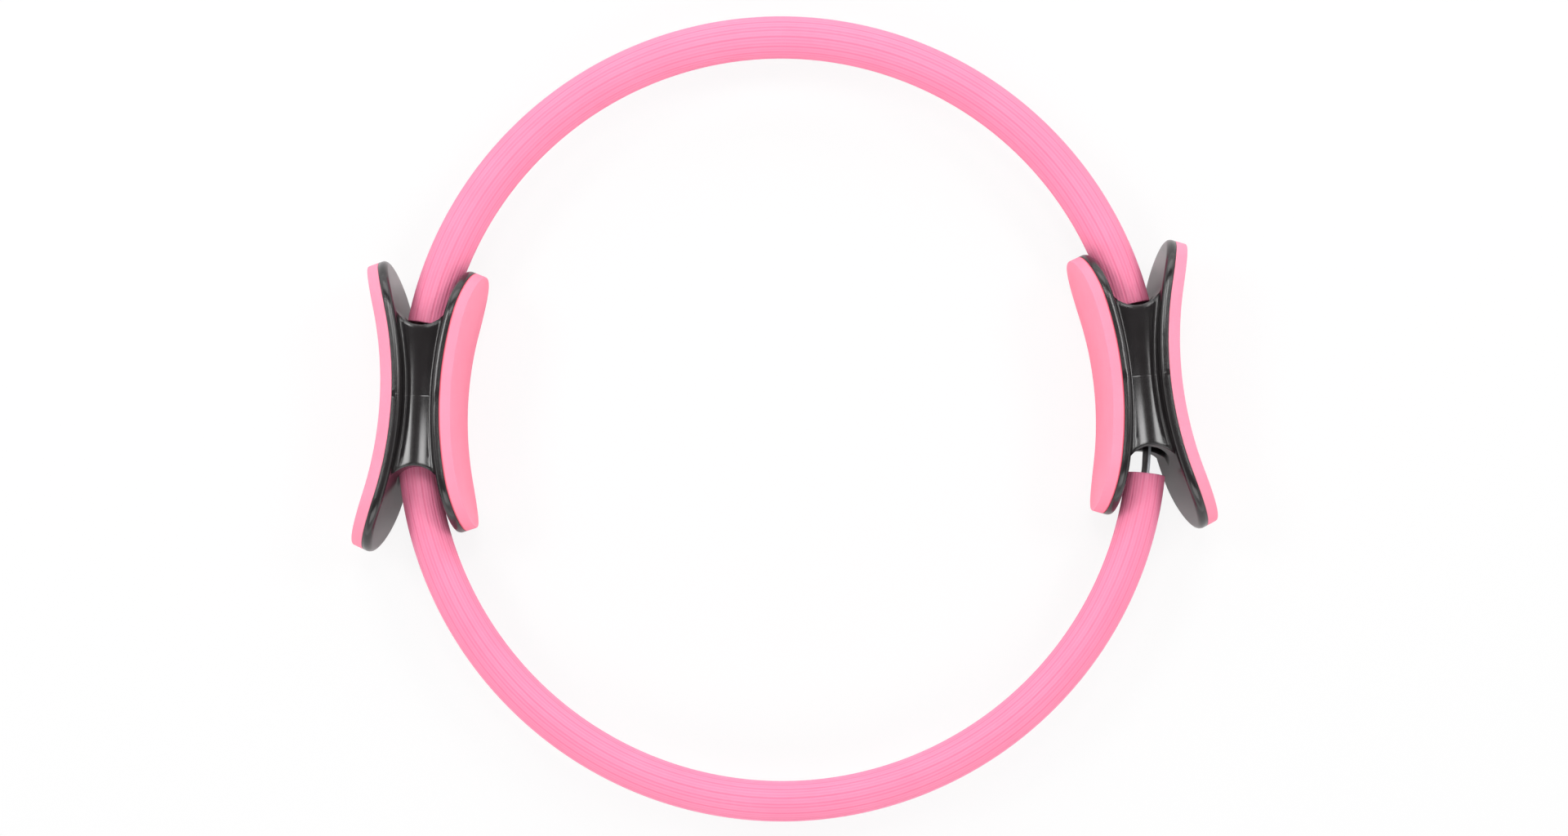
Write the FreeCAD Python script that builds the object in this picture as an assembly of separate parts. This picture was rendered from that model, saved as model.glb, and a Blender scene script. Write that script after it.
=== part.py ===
import FreeCAD, Part
import math
import os

# Pilates ring, lying flat: the ring is in the XY plane and rests on the lower edges of its grips.
# Z is the ring's axis, the grips stand at +X and -X, and the origin is under the ring's middle.
# Each side of the ring is one covered spring band, an upper one (+Y) and a lower one (-Y).
# Lengths are in millimetres, angles in degrees.

# Ring line: two arcs joined by a straight stretch inside each grip
upper_arc_radius = 169.4
band_straight = 20.2
grip_lean = 3.1

# Spring bands, lapped on each other inside the grips
band_width = 15.0
band_thickness = 1.2
band_lap_gap = 0.1
band_tail = 15.0

# Foam sleeves
upper_sleeve_diameter = 19.9
lower_sleeve_diameter = 18.4
sleeve_bore_height = 7.6
sleeve_bore_clearance = 0.3
upper_sleeve_stand_off = 2.4
lower_sleeve_stand_off = -1.5
sleeve_slip = 13.7

# Grip: its seam and its hub stand a little above the waist of its pads
grip_width = 52.0
grip_inset = 2.4
grip_drop = 0.5
waist_thickness = 21.6
seam_rise = 1.4

# Flanges that carry the pads, with round ends, reaching up and down from the waist
flange_thickness = 4.0
flange_edge_round = 2.4
flange_end_flat = 1.0
outer_flange_rise = 65.2
outer_flange_fall = 69.8
inner_flange_rise = 61.4
inner_flange_fall = 60.0

# Foam pads, hollowed along the grip
pad_thickness = 5.2
pad_glue_gap = 0.2
pad_face_radius = 168.3

# Hub between the flanges
hub_length = 65.2
hub_waist_diameter = 37.6
hub_mouth_diameter = 45.0
hub_root_fillet = 1.8
lip_scoop_radius = 13.6
lip_scoop_depth = 7.0
lip_round = 1.8
lip_rise = 0.8
socket_clearance = 1.45
socket_depth = 5.0
slot_clearance = 0.3

# Tongue that locates the two half shells
tongue_height = 2.4
tongue_wall = 1.2
tongue_clearance = 0.15

# Cross screws and their nuts
screw_spacing = 24.0
screw_diameter = 4.0
screw_head_diameter = 7.8
screw_head_height = 2.2
screw_drive_width = 2.5
screw_drive_depth = 1.5
screw_hole_clearance = 0.2
nut_width = 7.0
nut_height = 3.2
nut_pocket_clearance = 0.15
nut_seat_gap = 0.1
thread_clearance = 0.1
screw_end_gap = 0.4

# Cuts run past the faces that they open by this much
overrun = 2.0

# Derived sizes
lap_offset = (band_thickness + band_lap_gap) / 2
lean = math.radians(grip_lean)
lower_arc_radius = upper_arc_radius + band_straight * math.tan(lean)
upper_sleeve_radius = upper_sleeve_diameter / 2
lower_sleeve_radius = lower_sleeve_diameter / 2
arc_spread = band_straight / math.cos(lean)
top_reach = upper_arc_radius - lap_offset + upper_sleeve_radius
bottom_reach = lower_arc_radius + lap_offset + lower_sleeve_radius
upper_centre_y = (arc_spread + bottom_reach - top_reach) / 2
lower_centre_y = upper_centre_y - arc_spread
ring_height = grip_width / 2
half_waist = waist_thickness / 2
half_hub = hub_length / 2
seat_radius = pad_face_radius + pad_thickness + pad_glue_gap
web_radius = seat_radius + flange_thickness
saddle_centre = half_waist + seat_radius
socket_radius = upper_sleeve_radius + socket_clearance
flange_end_radius = (grip_width - flange_end_flat) / 2
outline_depth = half_waist + flange_thickness + outer_flange_fall
outer_reaches = (outer_flange_rise, outer_flange_fall)
inner_reaches = (inner_flange_rise, inner_flange_fall)
screw_places = (seam_rise - screw_spacing / 2, seam_rise + screw_spacing / 2)

x_axis = FreeCAD.Vector(1, 0, 0)
y_axis = FreeCAD.Vector(0, 1, 0)
z_axis = FreeCAD.Vector(0, 0, 1)
origin = FreeCAD.Vector(0, 0, 0)
upper_centre = FreeCAD.Vector(0, upper_centre_y, ring_height)
lower_centre = FreeCAD.Vector(0, lower_centre_y, ring_height)
out_of_ring = FreeCAD.Vector(math.cos(lean), math.sin(lean), 0)
up_the_grip = FreeCAD.Vector(-math.sin(lean), math.cos(lean), 0)


def mirrored(shape):
    """The same piece on the other side of the ring."""
    return shape.mirror(origin, x_axis)


def save(name, *solids):
    """Write one node, as one solid or as a group of separate solids."""
    shape = solids[0] if len(solids) == 1 else Part.makeCompound(list(solids))
    shape.exportStep("parts/" + name + ".step")


# Ring line


def on_arc(centre, radius, angle):
    return centre + FreeCAD.Vector(radius * math.cos(angle), radius * math.sin(angle), 0)


def straight_middle():
    """The middle of the straight stretch between the two arcs, on the right."""
    upper_end = on_arc(upper_centre, upper_arc_radius, lean)
    lower_end = on_arc(lower_centre, lower_arc_radius, lean)
    return (upper_end + lower_end) / 2


def arc_edge(centre, radius, first, last):
    middle = (first + last) / 2
    points = [on_arc(centre, radius, angle) for angle in (first, middle, last)]
    return Part.Arc(*points).toShape()


def half_line(offset, main, main_radius, main_angle, tail, tail_radius, tail_angle):
    """One side's edges along the right half of a band: main arc, straight stretch, tail arc."""
    main_arc = arc_edge(main, main_radius + offset, main_angle, lean)
    tail_arc = arc_edge(tail, tail_radius + offset, lean, tail_angle)
    straight = Part.makeLine(main_arc.Vertexes[-1].Point, tail_arc.Vertexes[0].Point)
    return [main_arc, straight, tail_arc]


def strip(inside, outside, height, route):
    """The right half of a flat strip that follows the ring line, standing on edge."""
    inner = half_line(inside, *route)
    outer = half_line(outside, *route)
    start = Part.makeLine(outer[0].Vertexes[0].Point, inner[0].Vertexes[0].Point)
    end = Part.makeLine(inner[-1].Vertexes[-1].Point, outer[-1].Vertexes[-1].Point)
    outline = Part.Wire(Part.__sortEdges__(inner + [end] + outer + [start]))
    solid = Part.Face(outline).extrude(z_axis * height)
    return solid.translate(-z_axis * (height / 2))


def upper_route(start_angle):
    tail_angle = lean - band_tail / lower_arc_radius
    return (upper_centre, upper_arc_radius, start_angle, lower_centre, lower_arc_radius, tail_angle)


def lower_route(start_angle):
    tail_angle = lean + band_tail / upper_arc_radius
    return (lower_centre, lower_arc_radius, start_angle, upper_centre, upper_arc_radius, tail_angle)


def make_band(middle, route):
    """A whole band from its right half, with a hole for every cross screw."""
    half = strip(middle - band_thickness / 2, middle + band_thickness / 2, band_width, route)
    band = half.fuse(mirrored(half)).removeSplitter()
    for hole in screw_bores(screw_diameter / 2 + screw_hole_clearance):
        band = band.cut(hole).cut(mirrored(hole))
    return band


def make_sleeve(centre, radius, tube_radius, first, last):
    """A foam tube bent along an arc, with a flattened bore round the band."""
    half_bore = band_width / 2 + sleeve_bore_clearance
    bore_end = sleeve_bore_height / 2
    flat = half_bore - bore_end
    skin = Part.Wire(Part.makeCircle(tube_radius, FreeCAD.Vector(radius, 0, 0), y_axis))
    corners = [FreeCAD.Vector(radius + side * bore_end, 0, end * flat) for side, end in
               ((1, -1), (1, 1), (-1, 1), (-1, -1))]
    tops = [FreeCAD.Vector(radius, 0, end * half_bore) for end in (1, -1)]
    bore = Part.Wire([
        Part.makeLine(corners[0], corners[1]),
        Part.Arc(corners[1], tops[0], corners[2]).toShape(),
        Part.makeLine(corners[2], corners[3]),
        Part.Arc(corners[3], tops[1], corners[0]).toShape(),
    ])
    section = Part.Face(skin).cut(Part.Face(bore))
    section.rotate(origin, z_axis, math.degrees(first))
    section.translate(centre)
    return section.revolve(centre, z_axis, math.degrees(last - first)).Solids[0]


# Right grip in its own frame: X out of the ring, Y up the grip, Z along the ring's axis


def place(shape):
    """Set a piece of the right grip on the ring line."""
    seat = straight_middle() - up_the_grip * grip_drop - out_of_ring * grip_inset
    shape.rotate(origin, z_axis, grip_lean)
    shape.translate(seat)
    return shape


def saddle(side, radius):
    """Everything within a radius of the axis that a flange and its pad are bent about."""
    base = FreeCAD.Vector(side * saddle_centre, 0, -grip_width)
    return Part.makeCylinder(radius, 2 * grip_width, base, z_axis)


def bent_plate(side, rise, fall, inner_radius, outer_radius):
    """A round-ended plate bent about the saddle's axis, with its ends square to its faces."""
    up_turn, down_turn = [math.degrees(math.asin(reach / seat_radius)) for reach in (rise, fall)]
    axis = FreeCAD.Vector(saddle_centre, 0, 0)
    far, near = saddle_centre - outer_radius, saddle_centre - inner_radius
    half_width = grip_width / 2
    outline = [FreeCAD.Vector(*point) for point in
               ((far, 0, -half_width), (near, 0, -half_width), (near, 0, half_width), (far, 0, half_width))]
    section = Part.Face(Part.makePolygon(outline + outline[:1]))
    section.rotate(axis, z_axis, -up_turn)
    plate = section.revolve(axis, z_axis, up_turn + down_turn).Solids[0]
    corners = [edge for edge in plate.Edges if isinstance(edge.Curve, Part.Line)
               and edge.BoundBox.ZLength < flange_end_radius]
    plate = plate.makeFillet(flange_end_radius, corners)
    return plate if side > 0 else mirrored(plate)


def make_flange(side, rise, fall):
    """A bent flange with its rim rounded on the hub's side."""
    plate = bent_plate(side, rise, fall, seat_radius, web_radius)
    hub_faces = [face for face in plate.Faces if isinstance(face.Surface, Part.Cylinder)
                 and abs(face.Surface.Radius - web_radius) < flange_edge_round]
    return plate.makeFillet(flange_edge_round, hub_faces[0].Edges)


def hub_outline(along):
    """The point of the hub's flare at a distance up or down the grip from its seam."""
    end = half_hub + lip_scoop_depth
    rise = (hub_mouth_diameter - hub_waist_diameter) / 2
    flare_radius = (end ** 2 + rise ** 2) / (2 * rise)
    radius = hub_waist_diameter / 2 + flare_radius - math.sqrt(flare_radius ** 2 - along ** 2)
    return FreeCAD.Vector(radius, seam_rise + along, 0)


def make_hub():
    """A waisted round hub, turned about the grip's own axis and trimmed between the flanges."""
    end = half_hub + lip_scoop_depth
    waist = hub_outline(0)
    mouths = [hub_outline(side * end) for side in (1, -1)]
    tips = [FreeCAD.Vector(0, mouth.y, 0) for mouth in mouths]
    flares = [Part.Arc(waist, hub_outline(side * end / 2), hub_outline(side * end)).toShape() for side in (1, -1)]
    outline = Part.Wire(Part.__sortEdges__(flares + [
        Part.makeLine(mouths[0], tips[0]),
        Part.makeLine(tips[0], tips[1]),
        Part.makeLine(tips[1], mouths[1]),
    ]))
    hub = Part.Face(outline).revolve(origin, y_axis, 360).Solids[0]
    for side in (1, -1):
        hub = hub.cut(saddle(side, seat_radius + flange_thickness / 2))
    return hub


def lip_scoop(side):
    """The hollow cut into one end of the hub, between the flanges, which leaves a rounded lip."""
    wide = lip_scoop_radius + lip_round
    level = hub_outline(half_hub).x + lip_rise - lip_round
    part_way = lip_round * math.sin(math.radians(45))
    edges = []
    for face in (1, -1):
        inside = FreeCAD.Vector(lip_scoop_radius, 0, face * level)
        bend = FreeCAD.Vector(wide - part_way, 0, face * (level + part_way))
        outside = FreeCAD.Vector(wide, 0, face * (level + lip_round))
        rim = FreeCAD.Vector(wide, 0, face * grip_width)
        edges += [Part.Arc(inside, bend, outside).toShape(), Part.makeLine(outside, rim)]
        edges.append(Part.makeLine(rim, FreeCAD.Vector(0, 0, face * grip_width)))
    edges.append(Part.makeLine(z_axis * grip_width, z_axis * -grip_width))
    throat = [FreeCAD.Vector(lip_scoop_radius, 0, face * level) for face in (1, -1)]
    edges.append(Part.makeLine(*throat))
    spool = Part.Face(Part.Wire(Part.__sortEdges__(edges))).revolve(origin, z_axis, 360).Solids[0]
    spool.translate(y_axis * (seam_rise + side * (half_hub + lip_scoop_radius)))
    for flange in (1, -1):
        spool = spool.cut(saddle(flange, web_radius))
    return spool


def socket(side):
    """The round mouth that a sleeve's end sits in."""
    base = FreeCAD.Vector(0, seam_rise + side * (half_hub - socket_depth), 0)
    return Part.makeCylinder(socket_radius, socket_depth + lip_scoop_depth + overrun, base, y_axis * side)


def root_edges(half):
    """Where the turned hub meets the flanges of one half shell."""
    roots = []
    for edge in half.Edges:
        surfaces = [face.Surface for face in half.ancestorsOfType(edge, Part.Face)]
        turned = [surface for surface in surfaces if isinstance(surface, Part.Toroid)
                  and abs(surface.Axis.y) > math.cos(lean)]
        bent = [surface for surface in surfaces if isinstance(surface, Part.Cylinder)
                and abs(surface.Axis.z) > math.cos(lean)]
        if turned and bent:
            roots.append(edge)
    return roots


def tongue_ring(extra):
    """The raised ring round the band slot at the seam, grown by a clearance."""
    wall = tongue_wall + slot_clearance + extra
    half_x = 2 * lap_offset + wall
    half_z = band_width / 2 + wall
    base = FreeCAD.Vector(grip_inset - half_x, seam_rise - overrun, -half_z)
    return Part.makeBox(2 * half_x, overrun + tongue_height + extra, 2 * half_z, base)


def countersunk(radius, head_radius, tip, seat, height):
    """A screw's outline turned about its axis: tip, shank, cone and head, from -X to +X."""
    points = [
        FreeCAD.Vector(tip, 0, 0),
        FreeCAD.Vector(tip, radius, 0),
        FreeCAD.Vector(seat - height, radius, 0),
        FreeCAD.Vector(seat, head_radius, 0),
        FreeCAD.Vector(seat, 0, 0),
    ]
    return Part.Face(Part.makePolygon(points + points[:1])).revolve(origin, x_axis, 360).Solids[0]


def hexagon(width, first, last):
    """A hexagonal bar along X between two places."""
    corners = [FreeCAD.Vector(first, width / math.sqrt(3) * math.cos(math.radians(60 * turn)),
                              width / math.sqrt(3) * math.sin(math.radians(60 * turn))) for turn in range(7)]
    return Part.Face(Part.makePolygon(corners)).extrude(x_axis * (last - first))


def flange_face(place_y):
    """How far the outside of a flange stands from the grip's axis at a height on the grip."""
    return saddle_centre - math.sqrt(seat_radius ** 2 - place_y ** 2)


def screw_lines(place_y):
    """Where one screw's head ends and where its nut starts and ends, along X."""
    head = flange_face(max(abs(place_y) - screw_head_diameter / 2, 0)) - pad_glue_gap
    nut_outside = -flange_face(max(abs(place_y) - nut_width / 2, 0)) + pad_glue_gap
    return head, nut_outside, nut_outside + nut_height


def screw_bores(radius):
    """Round holes through the right grip along its cross screws, already in place."""
    bores = []
    for place_y in screw_places:
        base = FreeCAD.Vector(-outline_depth, place_y, 0)
        bores.append(place(Part.makeCylinder(radius, 2 * outline_depth, base, x_axis)))
    return bores


def make_screw(place_y):
    head, nut_outside, nut_inside = screw_lines(place_y)
    tip = nut_outside + screw_end_gap
    screw = countersunk(screw_diameter / 2, screw_head_diameter / 2, tip, head, screw_head_height)
    screw = screw.cut(hexagon(screw_drive_width, head - screw_drive_depth, head + overrun))
    return place(screw.translate(y_axis * place_y))


def make_nut(place_y):
    head, nut_outside, nut_inside = screw_lines(place_y)
    nut = hexagon(nut_width, nut_outside, nut_inside)
    base = FreeCAD.Vector(nut_outside - overrun, 0, 0)
    bore_radius = screw_diameter / 2 + thread_clearance
    nut = nut.cut(Part.makeCylinder(bore_radius, nut_height + 2 * overrun, base, x_axis))
    return place(nut.translate(y_axis * place_y))


def screw_seats(body):
    """Open a countersunk hole and a hex pocket for every cross screw."""
    for place_y in screw_places:
        head, nut_outside, nut_inside = screw_lines(place_y)
        grow = screw_hole_clearance
        hole = countersunk(screw_diameter / 2 + grow, screw_head_diameter / 2 + grow,
                           -outline_depth, head, screw_head_height)
        mouth_base = FreeCAD.Vector(head, 0, 0)
        mouth = Part.makeCylinder(screw_head_diameter / 2 + grow, overrun, mouth_base, x_axis)
        pocket_width = nut_width + 2 * nut_pocket_clearance
        pocket = hexagon(pocket_width, nut_outside - overrun, nut_inside + nut_seat_gap)
        for cut in (hole, mouth, pocket):
            body = body.cut(cut.translate(y_axis * place_y))
    return body


def make_shells():
    """The right grip's upper and lower half shells."""
    body = make_hub()
    for side, reaches in ((1, outer_reaches), (-1, inner_reaches)):
        body = body.fuse(make_flange(side, *reaches))
    body = body.removeSplitter()
    below = Part.makeBox(2 * outline_depth, 2 * outline_depth, 2 * grip_width,
                         FreeCAD.Vector(-outline_depth, seam_rise - 2 * outline_depth, -grip_width))
    halves = []
    for side, half in ((1, body.cut(below)), (-1, body.common(below))):
        half = half.makeFillet(hub_root_fillet, root_edges(half))
        half = half.cut(lip_scoop(side)).cut(socket(side))
        halves.append(screw_seats(half))
    upper = halves[0].cut(tongue_ring(tongue_clearance))
    lower = halves[1].fuse(tongue_ring(0))
    half_slot = lap_offset + band_thickness / 2 + slot_clearance
    slot_width = band_width + 2 * slot_clearance
    slots = [strip(-half_slot, half_slot, slot_width, route) for route in
             (upper_route(math.pi / 2), lower_route(-math.pi / 2))]
    shells = []
    for shell in (upper, lower):
        shell = place(shell)
        for slot in slots:
            shell = shell.cut(slot)
        shells.append(max(shell.removeSplitter().Solids, key=lambda solid: solid.Volume))
    return shells


def make_pad(side, rise, fall):
    return place(bent_plate(side, rise, fall, pad_face_radius, pad_face_radius + pad_thickness))


def sleeve_angle(centre, radius, reach):
    """The angle on an arc at which a sleeve ends, measured up or down the right grip."""
    along = reach + (straight_middle() - centre).dot(up_the_grip) - grip_drop
    return lean + math.asin(along / radius)


os.makedirs("parts", exist_ok=True)

# Bands
save("upper_band", make_band(-lap_offset, upper_route(math.pi / 2)))
save("lower_band", make_band(lap_offset, lower_route(-math.pi / 2)))

# Sleeves
upper_mid_radius = upper_arc_radius - lap_offset
lower_mid_radius = lower_arc_radius + lap_offset
upper_end = sleeve_angle(upper_centre, upper_mid_radius, seam_rise + half_hub + upper_sleeve_stand_off)
lower_end = sleeve_angle(lower_centre, lower_mid_radius, seam_rise - half_hub - lower_sleeve_stand_off)
slipped_end = lower_end - sleeve_slip / lower_mid_radius
save("upper_sleeve", make_sleeve(upper_centre, upper_mid_radius, upper_sleeve_radius,
                                 upper_end, math.pi - upper_end))
save("lower_sleeve", make_sleeve(lower_centre, lower_mid_radius, lower_sleeve_radius,
                                 -math.pi - lower_end, slipped_end))

# Grips
upper_shell, lower_shell = make_shells()
right_pieces = {
    "upper_shell": upper_shell,
    "lower_shell": lower_shell,
    "outer_pad": make_pad(1, *outer_reaches),
    "inner_pad": make_pad(-1, *inner_reaches),
}
for name, solid in right_pieces.items():
    save("right_" + name, solid)
    save("left_" + name, mirrored(solid))

# Fasteners
screws = [make_screw(place_y) for place_y in screw_places]
nuts = [make_nut(place_y) for place_y in screw_places]
save("left_screws", *[mirrored(screw) for screw in screws])
save("left_nuts", *[mirrored(nut) for nut in nuts])
for level, screw, nut in zip(("lower", "upper"), screws, nuts):
    save("right_" + level + "_screw", screw)
    save("right_" + level + "_nut", nut)
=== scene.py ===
import math

import bmesh
import bpy
from mathutils import Matrix, Vector


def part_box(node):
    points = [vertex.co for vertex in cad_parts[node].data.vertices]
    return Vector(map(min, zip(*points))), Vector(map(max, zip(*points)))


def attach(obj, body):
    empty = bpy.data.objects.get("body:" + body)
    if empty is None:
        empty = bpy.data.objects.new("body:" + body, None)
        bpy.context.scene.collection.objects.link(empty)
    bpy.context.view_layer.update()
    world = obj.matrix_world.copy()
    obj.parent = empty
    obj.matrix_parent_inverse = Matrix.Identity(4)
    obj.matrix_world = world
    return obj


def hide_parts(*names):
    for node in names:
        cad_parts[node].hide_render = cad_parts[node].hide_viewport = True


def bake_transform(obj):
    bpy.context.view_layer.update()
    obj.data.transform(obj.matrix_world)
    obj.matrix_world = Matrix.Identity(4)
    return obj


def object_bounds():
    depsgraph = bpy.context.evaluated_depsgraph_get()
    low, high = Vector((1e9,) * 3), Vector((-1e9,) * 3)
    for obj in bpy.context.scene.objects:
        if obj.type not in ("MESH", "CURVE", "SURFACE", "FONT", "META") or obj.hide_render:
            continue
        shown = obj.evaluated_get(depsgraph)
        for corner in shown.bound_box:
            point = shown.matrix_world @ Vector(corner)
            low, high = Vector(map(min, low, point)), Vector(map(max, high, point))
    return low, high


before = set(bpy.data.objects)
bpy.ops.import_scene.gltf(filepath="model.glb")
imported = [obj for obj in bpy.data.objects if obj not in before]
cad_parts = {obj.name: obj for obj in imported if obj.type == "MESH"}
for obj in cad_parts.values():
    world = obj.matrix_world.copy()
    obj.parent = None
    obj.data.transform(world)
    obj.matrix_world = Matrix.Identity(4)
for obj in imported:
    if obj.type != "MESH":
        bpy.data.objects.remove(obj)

# Pilates ring, lying flat on a pale floor and seen from nearly straight above.
# Lengths are in metres and angles in degrees, in the frame's own axes:
# X through the two grips, Y through the middles of the two arcs, Z up along the ring's axis.

cad_low, cad_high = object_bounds()
ring_height = (cad_low.z + cad_high.z) / 2

# Foam sleeves: middle line, tube, ribs and bore
upper_bend_radius = 0.16875
lower_bend_radius = 0.171144
upper_tube_radius = 0.00995
lower_tube_radius = 0.0092
upper_end_angle = 11.893
lower_end_angle = 3.645
slipped_end_angle = 8.231
rib_count = 40
rib_points = 4
rib_depth = 0.00022
rib_unevenness = 0.3
rib_unevenness_step = 2.4
bore_points = 48
bore_half_width = 0.0038
bore_flat = 0.004
sleeve_steps = 84
sleeve_end_round = 0.00045

# Grips and their pads: how far each pad reaches up and down from the grip's waist
grip_middle = Vector((0.167329, 0.009384, 0))
grip_lean = math.radians(3.1)
waist_thickness = 0.0216
seam_rise = 0.0014
pad_width = 0.052
pad_end_radius = 0.0255
outer_pad_rise = 0.0652
outer_pad_fall = 0.0698
inner_pad_rise = 0.0614
inner_pad_fall = 0.06
pad_face_radius = 0.1683
pad_seat_radius = 0.1737
pad_seat_gap = 0.00003
pad_rim_round = 0.0005
# How far up an inner pad's side the painted contact shade at its seat reaches
pad_seat_shade_reach = 0.00055
pad_cuts = 56
pad_end_steps = 18

# Camera: how far it stands from the ring's middle plane, and its lens on a 36 mm sensor
camera_distance = 0.945
camera_offset = Vector((-0.00128, -0.0854))
camera_tilt = 5.0
camera_roll = -1.586
camera_lens = 46.39
sensor_width = 36.0

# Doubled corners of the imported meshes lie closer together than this
merge_distance = 1e-6

# Edges that turn by more than this are shaded as sharp
sharp_angle = math.radians(38)

# Nearly all of a noise pattern's values lie between these
noise_range = (0.3, 0.7)


# Node trees


def add_node(tree, kind, **settings):
    """One node, with its own properties set by name."""
    node = tree.nodes.new(kind)
    for key, value in settings.items():
        setattr(node, key, value)
    return node


def new_material(name):
    """An empty node material and the shader that it puts out."""
    material = bpy.data.materials.new(name)
    material.use_nodes = True
    tree = material.node_tree
    tree.nodes.clear()
    shader = add_node(tree, "ShaderNodeBsdfPrincipled")
    output = add_node(tree, "ShaderNodeOutputMaterial")
    tree.links.new(shader.outputs["BSDF"], output.inputs["Surface"])
    return material, tree, shader


def new_group(name, inputs, outputs):
    """A shader node group with named sockets; inputs give (kind, default)."""
    group = bpy.data.node_groups.new(name, "ShaderNodeTree")
    for label, (kind, default) in inputs.items():
        socket = group.interface.new_socket(name=label, in_out="INPUT", socket_type=kind)
        socket.default_value = default
    for label, kind in outputs.items():
        group.interface.new_socket(name=label, in_out="OUTPUT", socket_type=kind)
    return group, add_node(group, "NodeGroupInput"), add_node(group, "NodeGroupOutput")


def noise(tree, scale, detail, roughness=0.5):
    """A noise pattern on Object coordinates; scale is in patches per metre."""
    place = add_node(tree, "ShaderNodeTexCoord")
    pattern = add_node(tree, "ShaderNodeTexNoise")
    pattern.inputs["Detail"].default_value = detail
    pattern.inputs["Roughness"].default_value = roughness
    tree.links.new(place.outputs["Object"], pattern.inputs["Vector"])
    if isinstance(scale, bpy.types.NodeSocket):
        tree.links.new(scale, pattern.inputs["Scale"])
    else:
        pattern.inputs["Scale"].default_value = scale
    return pattern.outputs["Fac"]


def spread(tree, value, low, high, to_low, to_high):
    """Stretches a value from one range to another."""
    ranged = add_node(tree, "ShaderNodeMapRange")
    tree.links.new(value, ranged.inputs["Value"])
    for label, number in (("From Min", low), ("From Max", high), ("To Min", to_low), ("To Max", to_high)):
        if isinstance(number, bpy.types.NodeSocket):
            tree.links.new(number, ranged.inputs[label])
        else:
            ranged.inputs[label].default_value = number
    return ranged.outputs["Result"]


def blend_colour(tree, share, first, second):
    """Mixes two colours by a share; either may be a socket or a plain colour."""
    mix = add_node(tree, "ShaderNodeMix", data_type="RGBA")
    colours = [socket for socket in mix.inputs if socket.type == "RGBA"]
    tree.links.new(share, mix.inputs["Factor"])
    for socket, colour in zip(colours, (first, second)):
        if isinstance(colour, bpy.types.NodeSocket):
            tree.links.new(colour, socket)
        else:
            socket.default_value = (*colour, 1)
    return [socket for socket in mix.outputs if socket.type == "RGBA"][0]


def bump(tree, shader, height, depth):
    """Raises a surface by a height pattern of a given depth."""
    raised = add_node(tree, "ShaderNodeBump")
    raised.inputs["Strength"].default_value = 1
    raised.inputs["Distance"].default_value = depth
    tree.links.new(height, raised.inputs["Height"])
    tree.links.new(raised.outputs["Normal"], shader.inputs["Normal"])


def make_foam_skin():
    """Closed-cell foam: soft mottling in its colour, fine cells in its surface."""
    clouds_per_metre = 45
    cell_share = 0.45
    colour, value = "NodeSocketColor", "NodeSocketFloat"
    group, given, made = new_group(
        "foam_skin",
        {
            "Pale": (colour, (1, 1, 1, 1)),
            "Deep": (colour, (0.5, 0.5, 0.5, 1)),
            "Cells per metre": (value, 2000),
            "Smoothest": (value, 0.5),
            "Roughest": (value, 0.7),
        },
        {"Colour": colour, "Roughness": value, "Height": value},
    )
    clouds = spread(group, noise(group, clouds_per_metre, detail=3), *noise_range, 0, 1)
    cells = noise(group, given.outputs["Cells per metre"], detail=2, roughness=0.6)
    both = add_node(group, "ShaderNodeMix", data_type="FLOAT")
    both.inputs["Factor"].default_value = cell_share
    group.links.new(clouds, both.inputs["A"])
    group.links.new(cells, both.inputs["B"])
    tone = blend_colour(group, both.outputs["Result"], given.outputs["Deep"], given.outputs["Pale"])
    rough = spread(group, cells, *noise_range, given.outputs["Smoothest"], given.outputs["Roughest"])
    group.links.new(tone, made.inputs["Colour"])
    group.links.new(rough, made.inputs["Roughness"])
    group.links.new(cells, made.inputs["Height"])
    return group


def make_rolled_metal():
    """Rolled or plated metal: faint cloudy patches and a fine tooth."""
    tooth_per_metre = 4000
    dull_roughness, bright_roughness = 0.42, 0.26
    colour, value = "NodeSocketColor", "NodeSocketFloat"
    group, given, made = new_group(
        "rolled_metal",
        {
            "Bright": (colour, (1, 1, 1, 1)),
            "Dull": (colour, (0.5, 0.5, 0.5, 1)),
            "Patches per metre": (value, 200),
        },
        {"Colour": colour, "Roughness": value, "Height": value},
    )
    patches = spread(group, noise(group, given.outputs["Patches per metre"], detail=4), *noise_range, 0, 1)
    tooth = noise(group, tooth_per_metre, detail=2)
    rough = spread(group, patches, 0, 1, dull_roughness, bright_roughness)
    tone = blend_colour(group, patches, given.outputs["Dull"], given.outputs["Bright"])
    group.links.new(tone, made.inputs["Colour"])
    group.links.new(rough, made.inputs["Roughness"])
    group.links.new(tooth, made.inputs["Height"])
    return group


def use_group(tree, group, **values):
    """Places a group in a material with its own values."""
    placed = add_node(tree, "ShaderNodeGroup", node_tree=group)
    for label, value in values.items():
        placed.inputs[label.replace("_", " ")].default_value = value
    return placed


# Finishes


def make_pad_foam(foam_skin):
    """Matt pink foam, with painted contact shade along the thin line where a pad inside the ring is glued
    to its flange.
    """
    seat_shade_start = 0.93
    seat_painted_shade_colour = (0.80, 0.11, 0.17)
    cell_depth = 0.00012
    material, tree, shader = new_material("pad_foam")
    skin = use_group(tree, foam_skin, Pale=(0.98, 0.315, 0.44, 1), Deep=(0.97, 0.28, 0.40, 1),
                     Cells_per_metre=1600, Smoothest=0.62, Roughest=0.82)
    seat = add_node(tree, "ShaderNodeAttribute", attribute_name="seat")
    # Painted contact shade: a deeper pink along the seat line of each inner pad
    seat_painted_shade = spread(tree, seat.outputs["Fac"], seat_shade_start, 1, 0, 1)
    colour = blend_colour(tree, seat_painted_shade, skin.outputs["Colour"], seat_painted_shade_colour)
    tree.links.new(colour, shader.inputs["Base Color"])
    tree.links.new(skin.outputs["Roughness"], shader.inputs["Roughness"])
    shader.inputs["Specular IOR Level"].default_value = 0.22
    bump(tree, shader, skin.outputs["Height"], cell_depth)
    return material


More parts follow.
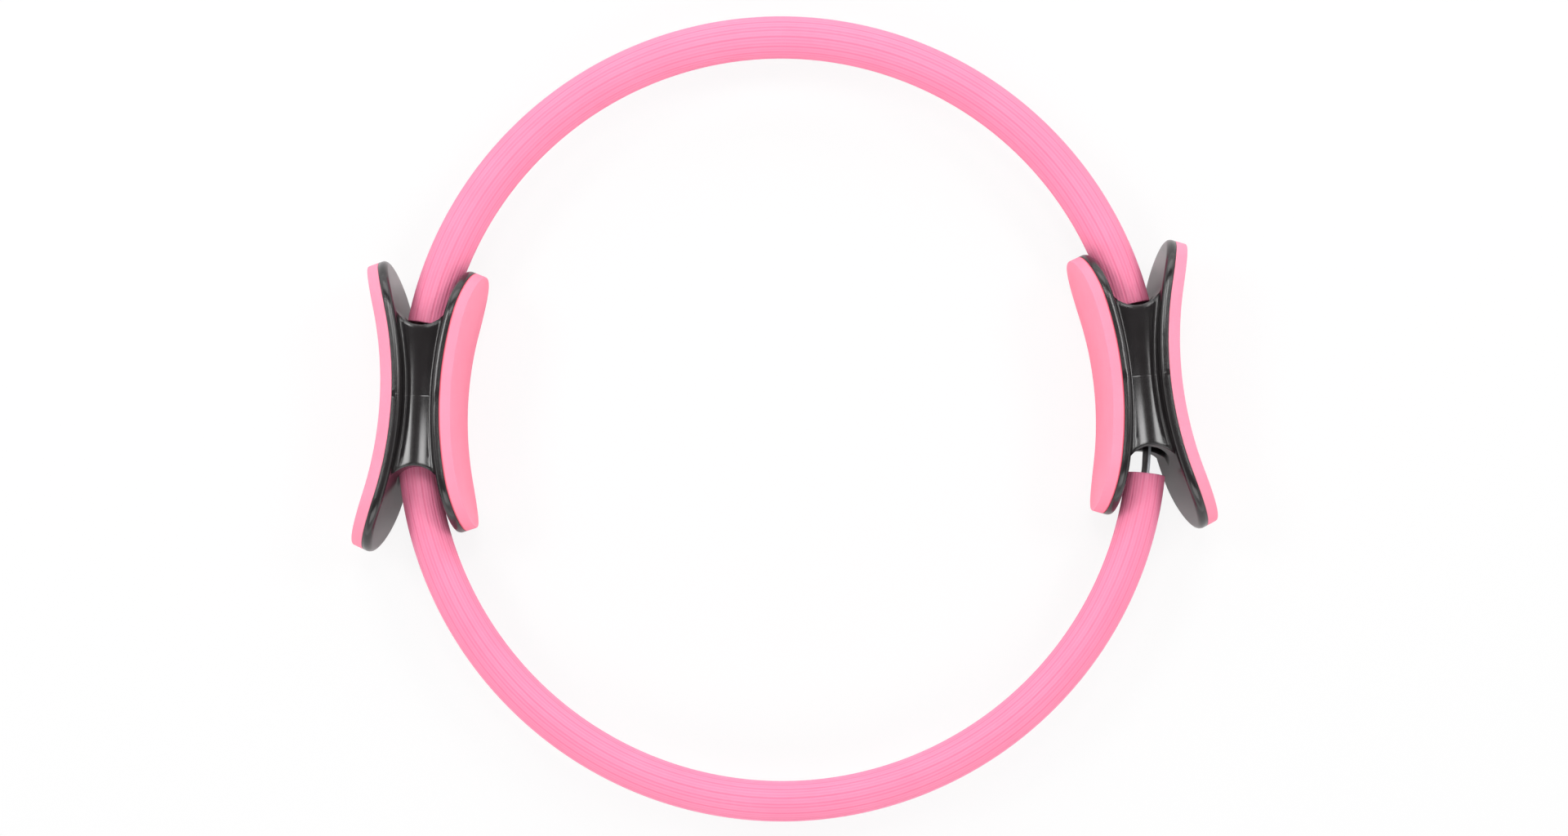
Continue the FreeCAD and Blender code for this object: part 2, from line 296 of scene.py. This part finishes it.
def make_sleeve_foam(foam_skin):
    """The pads' foam as a smoother extruded tube, with painted shade deepening its colour in the grooves
    between its ribs.
    """
    painted_shade_in_grooves = 0.72
    groove_painted_shade_colour = (0.86, 0.14, 0.28)
    cell_depth = 0.00005
    material, tree, shader = new_material("sleeve_foam")
    skin = use_group(tree, foam_skin, Pale=(0.985, 0.31, 0.485, 1), Deep=(0.97, 0.272, 0.438, 1),
                     Cells_per_metre=1200, Smoothest=0.40, Roughest=0.56)
    groove = add_node(tree, "ShaderNodeAttribute", attribute_name="groove")
    # Painted shade: the colour deepens towards the bottom of each groove between the ribs
    shade = spread(tree, groove.outputs["Fac"], 0, 1, 0, painted_shade_in_grooves)
    colour = blend_colour(tree, shade, skin.outputs["Colour"], groove_painted_shade_colour)
    tree.links.new(colour, shader.inputs["Base Color"])
    tree.links.new(skin.outputs["Roughness"], shader.inputs["Roughness"])
    shader.inputs["Specular IOR Level"].default_value = 0.35
    bump(tree, shader, skin.outputs["Height"], cell_depth)
    return material


def seam_line(tree):
    """How far a point lies along either grip from the seam between its half shells."""
    place = add_node(tree, "ShaderNodeTexCoord")
    parts = add_node(tree, "ShaderNodeSeparateXYZ")
    side = add_node(tree, "ShaderNodeMath", operation="ABSOLUTE")
    across = add_node(tree, "ShaderNodeMath", operation="MULTIPLY")
    along = add_node(tree, "ShaderNodeMath", operation="MULTIPLY_ADD")
    distance = add_node(tree, "ShaderNodeMath", operation="ABSOLUTE")
    offset = add_node(tree, "ShaderNodeMath", operation="ADD")
    seam = grip_middle.y * math.cos(grip_lean) - grip_middle.x * math.sin(grip_lean) + seam_rise
    across.inputs[1].default_value = -math.sin(grip_lean)
    along.inputs[1].default_value = math.cos(grip_lean)
    offset.inputs[1].default_value = -seam
    tree.links.new(place.outputs["Object"], parts.inputs["Vector"])
    tree.links.new(parts.outputs["X"], side.inputs[0])
    tree.links.new(side.outputs["Value"], across.inputs[0])
    tree.links.new(parts.outputs["Y"], along.inputs[0])
    tree.links.new(across.outputs["Value"], along.inputs[2])
    tree.links.new(along.outputs["Value"], offset.inputs[0])
    tree.links.new(offset.outputs["Value"], distance.inputs[0])
    return distance.outputs["Value"]


def rim_share(tree):
    """One on the flanges' rims and none on the hub, by height from the ring's middle plane."""
    hub_top, rim_low = 0.0228, 0.0242
    place = add_node(tree, "ShaderNodeTexCoord")
    parts = add_node(tree, "ShaderNodeSeparateXYZ")
    above = add_node(tree, "ShaderNodeMath", operation="SUBTRACT")
    height = add_node(tree, "ShaderNodeMath", operation="ABSOLUTE")
    above.inputs[1].default_value = ring_height
    tree.links.new(place.outputs["Object"], parts.inputs["Vector"])
    tree.links.new(parts.outputs["Z"], above.inputs[0])
    tree.links.new(above.outputs["Value"], height.inputs[0])
    return spread(tree, height.outputs["Value"], hub_top, rim_low, 0, 1)


def eased_normal(tree, distance):
    """The way a surface faces, rounded over on the rims and lips but not close to the seam."""
    corner_round, corner_samples = 0.0026, 8
    easing_start, easing_full = 0.4 * corner_round, 1.2 * corner_round
    lip_start, lip_full = 0.0275, 0.0300
    plain = add_node(tree, "ShaderNodeNewGeometry")
    corners = add_node(tree, "ShaderNodeBevel", samples=corner_samples)
    corners.inputs["Radius"].default_value = corner_round
    corner = add_node(tree, "ShaderNodeMath", operation="MAXIMUM")
    tree.links.new(rim_share(tree), corner.inputs[0])
    tree.links.new(spread(tree, distance, lip_start, lip_full, 0, 1), corner.inputs[1])
    share = add_node(tree, "ShaderNodeMath", operation="MULTIPLY")
    tree.links.new(corner.outputs["Value"], share.inputs[0])
    tree.links.new(spread(tree, distance, easing_start, easing_full, 0, 1), share.inputs[1])
    eased = add_node(tree, "ShaderNodeMix", data_type="VECTOR")
    given = [socket for socket in eased.inputs if socket.type == "VECTOR" and socket.name in ("A", "B")]
    made = [socket for socket in eased.outputs if socket.type == "VECTOR"]
    tree.links.new(share.outputs["Value"], eased.inputs["Factor"])
    tree.links.new(plain.outputs["Normal"], given[0])
    tree.links.new(corners.outputs["Normal"], given[1])
    return made[0]


def make_black_plastic():
    """Semi-gloss moulded black: fine grain, faint handling marks, eased rims and lips, a seam."""
    marks_per_metre, faintest_mark, fullest_mark = 90, 0.35, 0.7
    clean_black, marked_black = (0.0115, 0.0095, 0.010), (0.015, 0.0124, 0.0132)
    clean_roughness, marked_roughness = 0.17, 0.20
    grain_per_metre, grain_depth = 2600, 0.000006
    seam_width, seam_depth = 0.0003, 0.00003
    material, tree, shader = new_material("black_plastic")
    marks = spread(tree, noise(tree, marks_per_metre, detail=4), faintest_mark, fullest_mark, 0, 1)
    colour = blend_colour(tree, marks, clean_black, marked_black)
    rough = spread(tree, marks, 0, 1, clean_roughness, marked_roughness)
    tree.links.new(colour, shader.inputs["Base Color"])
    tree.links.new(rough, shader.inputs["Roughness"])
    shader.inputs["Specular IOR Level"].default_value = 0.68
    distance = seam_line(tree)
    grain = add_node(tree, "ShaderNodeBump")
    grain.inputs["Distance"].default_value = grain_depth
    tree.links.new(eased_normal(tree, distance), grain.inputs["Normal"])
    tree.links.new(noise(tree, grain_per_metre, detail=3), grain.inputs["Height"])
    seam = add_node(tree, "ShaderNodeBump")
    seam.inputs["Distance"].default_value = seam_depth
    tree.links.new(spread(tree, distance, 0, seam_width, 0, 1), seam.inputs["Height"])
    tree.links.new(grain.outputs["Normal"], seam.inputs["Normal"])
    tree.links.new(seam.outputs["Normal"], shader.inputs["Normal"])
    return material


def make_metal(name, rolled_metal, bright, dull, patches=420, metallic=1, tooth_depth=0.000008):
    """Rolled or plated metal between a bright and a dull colour; patches are per metre."""
    material, tree, shader = new_material(name)
    metal = use_group(tree, rolled_metal, Bright=(*bright, 1), Dull=(*dull, 1), Patches_per_metre=patches)
    tree.links.new(metal.outputs["Colour"], shader.inputs["Base Color"])
    tree.links.new(metal.outputs["Roughness"], shader.inputs["Roughness"])
    shader.inputs["Metallic"].default_value = metallic
    bump(tree, shader, metal.outputs["Height"], tooth_depth)
    return material


# Shapes


def finish_piece(name, shape, *materials):
    """Makes a bmesh an object at the origin, smooth apart from its sharp edges."""
    bmesh.ops.recalc_face_normals(shape, faces=shape.faces[:])
    for face in shape.faces:
        face.smooth = True
    for edge in shape.edges:
        edge.smooth = edge.calc_face_angle(0) < sharp_angle
    mesh = bpy.data.meshes.new(name)
    shape.to_mesh(mesh)
    shape.free()
    for material in materials:
        mesh.materials.append(material)
    piece = bpy.data.objects.new(name, mesh)
    bpy.context.scene.collection.objects.link(piece)
    return piece


def edges_among(verts):
    """The edges that join these vertices to each other."""
    chosen = set(verts)
    return [edge for edge in {edge for vert in verts for edge in vert.link_edges}
            if edge.verts[0] in chosen and edge.verts[1] in chosen]


def groove_depth(turn):
    """How deep a point lies between the ribs, by its share of the way round; the grooves are uneven."""
    rib = turn * rib_count
    deepest = 1 - rib_unevenness + rib_unevenness * math.sin(rib_unevenness_step * math.floor(rib))
    return deepest * (1 - math.cos(math.tau * rib)) / 2


def tube_section(shape, bend_radius, tube_radius, end_angle):
    """A ribbed ring and the bore inside it, standing across the arc at its end."""
    across = Matrix(((1, 0, 0), (0, 0, 1), (0, 1, 0))).to_4x4()
    there = Matrix.Rotation(end_angle, 4, "Z") @ Matrix.Translation((bend_radius, 0, 0)) @ across
    skin = bmesh.ops.create_circle(shape, segments=rib_count * rib_points, radius=tube_radius)["verts"]
    for vert in skin:
        dip = groove_depth(math.atan2(vert.co.y, vert.co.x) / math.tau)
        vert.co *= 1 - dip * rib_depth / tube_radius
    bore = bmesh.ops.create_circle(shape, segments=bore_points, radius=bore_half_width)["verts"]
    for vert in bore:
        vert.co.y += math.copysign(bore_flat, vert.co.y)
    bmesh.ops.transform(shape, matrix=there, verts=skin + bore)
    return skin, bore


def mark_grooves(shape, bend_radius):
    """Records how deep in a groove each point of the skin lies, from crest to bottom."""
    # The sleeve foam paints shade into the grooves by this depth
    layer = shape.verts.layers.float.new("groove")
    for vert in shape.verts:
        turn = math.atan2(vert.co.z, math.hypot(vert.co.x, vert.co.y) - bend_radius) / math.tau
        vert[layer] = groove_depth(turn)


def make_sleeve_half(name, foam, bend_radius, tube_radius, centre_y, end_angle, hand, rise):
    """Half of a sleeve, from the middle of its arc to one grip; hand is +1 for right, rise +1 for upper."""
    shape = bmesh.new()
    end_angle = math.radians(end_angle)
    rings = tube_section(shape, bend_radius, tube_radius, end_angle)
    firsts = [edges_among(ring) for ring in rings]
    lasts = []
    for ring, edges in zip(rings, firsts):
        turned = bmesh.ops.spin(shape, geom=ring + edges, cent=(0, 0, 0), axis=(0, 0, 1),
                                angle=math.pi / 2 - end_angle, steps=sleeve_steps)
        lasts.append([item for item in turned["geom_last"] if isinstance(item, bmesh.types.BMEdge)])
    mark_grooves(shape, bend_radius)
    for loops in (firsts, lasts):
        bmesh.ops.bridge_loops(shape, edges=loops[0] + loops[1])
    bmesh.ops.bevel(shape, geom=firsts[0], offset=sleeve_end_round, segments=3, profile=0.5,
                    affect="EDGES", material=-1)
    bmesh.ops.scale(shape, vec=(hand, rise, 1), verts=shape.verts)
    bmesh.ops.translate(shape, vec=(0, centre_y, ring_height), verts=shape.verts)
    return finish_piece(name, shape, foam)


def make_band_half(name, node, hand, *steels):
    """Half of a spring band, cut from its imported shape; a second steel is for its sheared edges."""
    shape = bmesh.new()
    shape.from_mesh(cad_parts[node].data)
    bmesh.ops.remove_doubles(shape, verts=shape.verts, dist=merge_distance)
    cut = bmesh.ops.bisect_plane(shape, geom=shape.verts[:] + shape.edges[:] + shape.faces[:],
                                 plane_co=(0, 0, 0), plane_no=(hand, 0, 0), clear_inner=True)
    rim = [item for item in cut["geom_cut"] if isinstance(item, bmesh.types.BMEdge)]
    bmesh.ops.holes_fill(shape, edges=rim)
    bmesh.ops.recalc_face_normals(shape, faces=shape.faces[:])
    for face in shape.faces:
        edge_on = abs(face.normal.z) > math.cos(sharp_angle)
        face.material_index = len(steels) - 1 if edge_on else 0
    return finish_piece(name, shape, *steels)


def bend_pad(shape, side, hand):
    """Bends a flat pad to its flange and sets it on its grip."""
    out_of_ring = Vector((math.cos(grip_lean), math.sin(grip_lean), 0))
    up_the_grip = Vector((-math.sin(grip_lean), math.cos(grip_lean), 0))
    saddle_centre = waist_thickness / 2 + pad_seat_radius
    for vert in shape.verts:
        turn = vert.co.x / pad_seat_radius
        radius = pad_seat_radius - vert.co.z
        outward = side * (saddle_centre - radius * math.cos(turn))
        upward = radius * math.sin(turn)
        place = grip_middle + out_of_ring * outward + up_the_grip * upward
        vert.co = (hand * place.x, place.y, ring_height + vert.co.y)


def mark_seat(shape, side):
    """Records the thin line where a pad inside the ring is glued to its flange, which the pad foam darkens
    as painted contact shade.
    """
    layer = shape.verts.layers.float.new("seat")
    for vert in shape.verts:
        vert[layer] = 1 if side < 0 and vert.co.z < pad_seat_gap + pad_seat_shade_reach else 0


def make_pad(name, foam, rise, fall, side, hand):
    """A round-ended foam pad with thickness and an eased rim; side is +1 for outside the ring."""
    shape = bmesh.new()
    above, below = [pad_seat_radius * math.asin(reach / pad_seat_radius) for reach in (rise, fall)]
    length = above + below
    bmesh.ops.create_grid(shape, x_segments=1, y_segments=1, size=0.5)
    bmesh.ops.scale(shape, vec=(length, pad_width, 1), verts=shape.verts)
    bmesh.ops.translate(shape, vec=((above - below) / 2, 0, 0), verts=shape.verts)
    bmesh.ops.bevel(shape, geom=shape.verts[:], offset=pad_end_radius, segments=pad_end_steps,
                    profile=0.5, affect="VERTICES", material=-1)
    for index in range(1, pad_cuts):
        bmesh.ops.bisect_plane(shape, geom=shape.verts[:] + shape.edges[:] + shape.faces[:],
                               plane_co=(length * index / pad_cuts - below, 0, 0), plane_no=(1, 0, 0))
    thickness = pad_seat_radius - pad_face_radius - pad_seat_gap
    bmesh.ops.recalc_face_normals(shape, faces=shape.faces[:])
    raised = bmesh.ops.extrude_face_region(shape, geom=shape.faces[:], use_keep_orig=True)
    lifted = [item for item in raised["geom"] if isinstance(item, bmesh.types.BMVert)]
    bmesh.ops.translate(shape, vec=(0, 0, thickness), verts=lifted)
    bmesh.ops.translate(shape, vec=(0, 0, pad_seat_gap), verts=shape.verts)
    bmesh.ops.recalc_face_normals(shape, faces=shape.faces[:])
    rim = [edge for edge in shape.edges if edge.calc_face_angle(0) > sharp_angle]
    bmesh.ops.bevel(shape, geom=rim, offset=pad_rim_round, segments=3, profile=0.5,
                    affect="EDGES", material=-1)
    mark_seat(shape, side)
    bend_pad(shape, side, hand)
    return finish_piece(name, shape, foam)


# Put the object together


def dress_packed_nodes(black_plastic, zinc):
    """Gives the nodes that stay in view their finishes."""
    for name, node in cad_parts.items():
        if name.endswith("shell"):
            finish = black_plastic
        elif "screw" in name or "nut" in name:
            finish = zinc
        else:
            continue
        node.data.materials.clear()
        node.data.materials.append(finish)


def add_pads(foam):
    """Two foam pads on each grip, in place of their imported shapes."""
    for word, hand in (("left", -1), ("right", 1)):
        for place, side, rise, fall in (("outer", 1, outer_pad_rise, outer_pad_fall),
                                        ("inner", -1, inner_pad_rise, inner_pad_fall)):
            node = f"{word}_{place}_pad"
            pad = make_pad(f"{node}_foam", foam, rise, fall, side, hand)
            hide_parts(node)
            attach(pad, f"{word}_grip")


def add_arcs(foam, face_steel, edge_steel):
    """The two covered bands, each in a left and a right half, one for each quarter of the ring."""
    upper_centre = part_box("upper_sleeve")[1].y - upper_bend_radius - upper_tube_radius
    lower_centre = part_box("lower_sleeve")[0].y + lower_bend_radius + lower_tube_radius
    arcs = (
        ("upper", 1, upper_centre, upper_bend_radius, upper_tube_radius,
         upper_end_angle, upper_end_angle),
        ("lower", -1, lower_centre, lower_bend_radius, lower_tube_radius,
         lower_end_angle, slipped_end_angle),
    )
    for level, rise, centre_y, bend_radius, tube_radius, left_end, right_end in arcs:
        for word, hand, end_angle in (("left", -1, left_end), ("right", 1, right_end)):
            sleeve = make_sleeve_half(f"{level}_sleeve_{word}", foam, bend_radius, tube_radius, centre_y,
                                      end_angle, hand, rise)
            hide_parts(f"{level}_sleeve")
            # Only the stretch that the slipped sleeve leaves bare shows a band's sheared edges
            steels = (face_steel, edge_steel) if end_angle == slipped_end_angle else (face_steel,)
            band = make_band_half(f"{level}_band_{word}", f"{level}_band", hand, *steels)
            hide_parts(f"{level}_band")
            for piece in (sleeve, band):
                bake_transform(piece)


# Studio


def add_floor():
    """A pale floor that shows as white, still takes a soft shadow, and lets a view from below through."""
    floor_size = 8.0
    floor_grey = 0.82
    seen_white_share = 0.86
    mirrored_white_share = 0.12
    material = bpy.data.materials.new("pale_floor")
    material.use_nodes = True
    tree = material.node_tree
    tree.nodes.clear()
    matt = add_node(tree, "ShaderNodeBsdfDiffuse")
    matt.inputs["Color"].default_value = (floor_grey, floor_grey, floor_grey, 1)
    white = add_node(tree, "ShaderNodeEmission")
    path = add_node(tree, "ShaderNodeLightPath")
    glossy = add_node(tree, "ShaderNodeMath", operation="MAXIMUM")
    tree.links.new(path.outputs["Is Glossy Ray"], glossy.inputs[0])
    tree.links.new(path.outputs["Is Transmission Ray"], glossy.inputs[1])
    mirrored = add_node(tree, "ShaderNodeMath", operation="MULTIPLY")
    mirrored.inputs[1].default_value = mirrored_white_share
    tree.links.new(glossy.outputs["Value"], mirrored.inputs[0])
    share = add_node(tree, "ShaderNodeMath", operation="MULTIPLY_ADD")
    share.inputs[1].default_value = seen_white_share
    tree.links.new(path.outputs["Is Camera Ray"], share.inputs[0])
    tree.links.new(mirrored.outputs["Value"], share.inputs[2])
    mix = add_node(tree, "ShaderNodeMixShader")
    tree.links.new(share.outputs["Value"], mix.inputs["Fac"])
    tree.links.new(matt.outputs["BSDF"], mix.inputs[1])
    tree.links.new(white.outputs["Emission"], mix.inputs[2])
    facing = add_node(tree, "ShaderNodeNewGeometry")
    clear = add_node(tree, "ShaderNodeBsdfTransparent")
    sides = add_node(tree, "ShaderNodeMixShader")
    tree.links.new(facing.outputs["Backfacing"], sides.inputs["Fac"])
    tree.links.new(mix.outputs["Shader"], sides.inputs[1])
    tree.links.new(clear.outputs["BSDF"], sides.inputs[2])
    output = add_node(tree, "ShaderNodeOutputMaterial")
    tree.links.new(sides.outputs["Shader"], output.inputs["Surface"])
    shape = bmesh.new()
    bmesh.ops.create_grid(shape, x_segments=1, y_segments=1, size=floor_size)
    floor = finish_piece("floor", shape, material)


def add_world():
    """Soft light from all round, strongest at the horizon, weak overhead and plain below."""
    horizon, overhead, below = 1.9, 0.17, 0.9
    overhead_height, below_height = 0.55, -0.1
    world = bpy.data.worlds.new("studio")
    world.use_nodes = True
    bpy.context.scene.world = world
    tree = world.node_tree
    background = tree.nodes["Background"]
    direction = add_node(tree, "ShaderNodeTexCoord")
    parts = add_node(tree, "ShaderNodeSeparateXYZ")
    tree.links.new(direction.outputs["Generated"], parts.inputs["Vector"])
    lesser = add_node(tree, "ShaderNodeMath", operation="MINIMUM")
    upward = spread(tree, parts.outputs["Z"], 0, overhead_height, horizon, overhead)
    downward = spread(tree, parts.outputs["Z"], below_height, 0, below, horizon)
    tree.links.new(upward, lesser.inputs[0])
    tree.links.new(downward, lesser.inputs[1])
    tree.links.new(lesser.outputs["Value"], background.inputs["Strength"])
    background.inputs["Color"].default_value = (1, 1, 1, 1)


def add_softbox(name, place, aim, width, height, radiance):
    """A flat lamp that faces a point; its power follows from how bright its face is."""
    lamp = bpy.data.lights.new(name, "AREA")
    lamp.shape = "RECTANGLE"
    lamp.size = width
    lamp.size_y = height
    lamp.energy = radiance * math.pi * width * height
    box = bpy.data.objects.new(name, lamp)
    box.location = place
    box.rotation_euler = (Vector(aim) - Vector(place)).to_track_quat("-Z", "Y").to_euler()
    bpy.context.scene.collection.objects.link(box)


def add_lights():
    """Three small softboxes in a row past the upper arc, and a wide fill lamp behind and in front."""
    middle = (0, 0, ring_height)
    row = (
        ("left_softbox", (-0.84, 0.36, 1.08), 0.50, 0.32, 10.0),
        ("middle_softbox", (0, 0.36, 1.08), 0.30, 0.32, 9.0),
        ("right_softbox", (0.84, 0.36, 1.08), 0.50, 0.32, 8.5),
        ("back_fill", (0, 1.9, 1.2), 2.6, 0.9, 2.4),
        ("front_fill", (0, -1.45, 1.5), 2.4, 1.0, 2.3),
    )
    for name, place, width, height, radiance in row:
        add_softbox(name, place, middle, width, height, radiance)


def add_camera():
    """Above the ring, tilted a little up the picture and turned a little about its own axis."""
    lens = bpy.data.cameras.new("camera")
    lens.sensor_fit = "HORIZONTAL"
    lens.sensor_width = sensor_width
    lens.lens = camera_lens
    camera = bpy.data.objects.new("camera", lens)
    camera.location = (camera_offset.x, camera_offset.y, ring_height + camera_distance)
    camera.rotation_euler = (math.radians(camera_tilt), 0, math.radians(camera_roll))
    bpy.context.scene.collection.objects.link(camera)
    bpy.context.scene.camera = camera


foam_skin = make_foam_skin()
rolled_metal = make_rolled_metal()
dress_packed_nodes(
    make_black_plastic(),
    make_metal("zinc_plate", rolled_metal, (0.72, 0.72, 0.70), (0.55, 0.56, 0.56)),
)
add_pads(make_pad_foam(foam_skin))
add_arcs(
    make_sleeve_foam(foam_skin),
    make_metal("blued_steel", rolled_metal, (0.05, 0.052, 0.06), (0.028, 0.028, 0.031),
               patches=160, metallic=0.85, tooth_depth=0.00001),
    make_metal("sheared_steel", rolled_metal, (0.70, 0.72, 0.76), (0.50, 0.52, 0.56)),
)
add_floor()
add_world()
add_lights()
add_camera()
bpy.context.scene.view_settings.view_transform = "Standard"

bpy.context.view_layer.update()
